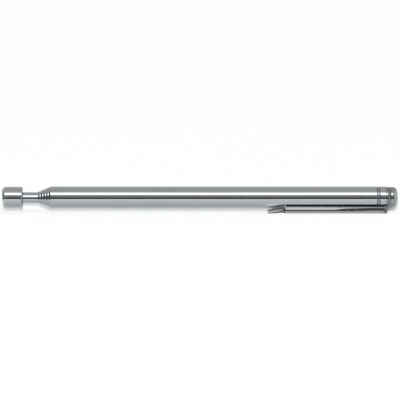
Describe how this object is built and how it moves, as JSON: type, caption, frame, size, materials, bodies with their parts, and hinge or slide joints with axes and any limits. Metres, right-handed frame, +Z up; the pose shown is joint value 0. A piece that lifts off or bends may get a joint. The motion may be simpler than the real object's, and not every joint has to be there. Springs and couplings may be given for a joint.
{
  "type": "magnetic pickup tool",
  "caption": "Pen-type telescoping pickup tool: magnet in a cup on nested sliding tubes, with a domed tail cap and a pocket clip on the barrel, shown pushed shut.",
  "frame": {"origin": "middle of the closed length, under the barrel's axis, on the surface that the barrel and the clip's edge rest on", "axes": "+X along the tool's axis from the magnet to the tail cap; +Z up; the clip points towards -Y, 32 degrees below level, where its edge all but touches the surface"},
  "size_m": [0.127, 0.0091, 0.008],
  "materials": {
    "barrel_chrome": "mirror polished plate",
    "section_chrome": "polished plate, fine lengthwise wear",
    "cap_chrome": "polished plate on a turned cap",
    "head_chrome": "polished plate on a turned cup",
    "clip_steel": "plated spring strip",
    "turned_brass": "turned, bare",
    "sleeve_brass": "turned, bare",
    "spring_bronze": "rolled phosphor bronze strip",
    "magnet_nickel": "ground and nickel plated"
  },
  "bodies": {
    "barrel": {"barrel": "barrel_chrome", "tail_plug": "turned_brass", "tail_cap": "cap_chrome", "clip_root": "clip_steel"},
    "clip_blade": {"clip_blade": "clip_steel"},
    "glide_1": {"friction_spring_1a": "spring_bronze", "friction_spring_1b": "spring_bronze"},
    "section_1": {"section_1": "section_chrome", "stop_ring_1": "turned_brass"},
    "glide_2": {"friction_spring_2a": "spring_bronze", "friction_spring_2b": "spring_bronze"},
    "section_2": {"section_2": "section_chrome", "stop_ring_2": "turned_brass"},
    "glide_3": {"friction_spring_3a": "spring_bronze", "friction_spring_3b": "spring_bronze"},
    "section_3": {"section_3": "section_chrome", "stop_ring_3": "turned_brass"},
    "glide_4": {"friction_spring_4a": "spring_bronze", "friction_spring_4b": "spring_bronze"},
    "section_4": {"section_4": "section_chrome", "stop_ring_4": "turned_brass"},
    "glide_5": {"friction_spring_5a": "spring_bronze", "friction_spring_5b": "spring_bronze"},
    "section_5": {"section_5": "section_chrome", "stop_ring_5": "turned_brass", "head_stud": "turned_brass", "magnet_cup": "head_chrome", "magnet_sleeve": "sleeve_brass", "magnet": "magnet_nickel"}
  },
  "joints": [
    {"name": "clip_flex", "type": "hinge", "parent": "barrel", "child": "clip_blade", "pos_m": [0.0588, -0.00432, 0.0013], "axis": [0, -0.5299, 0.848], "range_deg": [0, 4], "stiffness_Nm_per_rad": 0.6},
    {"name": "section_1_slide", "type": "slide", "parent": "barrel", "child": "glide_1", "axis": [-1, 0, 0], "range_m": [0, 0.09765]},
    {"name": "section_1_spin", "type": "hinge", "parent": "glide_1", "child": "section_1", "pos_m": [0, 0, 0.004], "axis": [-1, 0, 0], "continuous": true},
    {"name": "section_2_slide", "type": "slide", "parent": "section_1", "child": "glide_2", "axis": [-1, 0, 0], "range_m": [0, 0.09853]},
    {"name": "section_2_spin", "type": "hinge", "parent": "glide_2", "child": "section_2", "pos_m": [0, 0, 0.004], "axis": [-1, 0, 0], "continuous": true},
    {"name": "section_3_slide", "type": "slide", "parent": "section_2", "child": "glide_3", "axis": [-1, 0, 0], "range_m": [0, 0.0994]},
    {"name": "section_3_spin", "type": "hinge", "parent": "glide_3", "child": "section_3", "pos_m": [0, 0, 0.004], "axis": [-1, 0, 0], "continuous": true},
    {"name": "section_4_slide", "type": "slide", "parent": "section_3", "child": "glide_4", "axis": [-1, 0, 0], "range_m": [0, 0.10028]},
    {"name": "section_4_spin", "type": "hinge", "parent": "glide_4", "child": "section_4", "pos_m": [0, 0, 0.004], "axis": [-1, 0, 0], "continuous": true},
    {"name": "section_5_slide", "type": "slide", "parent": "section_4", "child": "glide_5", "axis": [-1, 0, 0], "range_m": [0, 0.10115]},
    {"name": "section_5_spin", "type": "hinge", "parent": "glide_5", "child": "section_5", "pos_m": [0, 0, 0.004], "axis": [-1, 0, 0], "continuous": true}
  ]
}
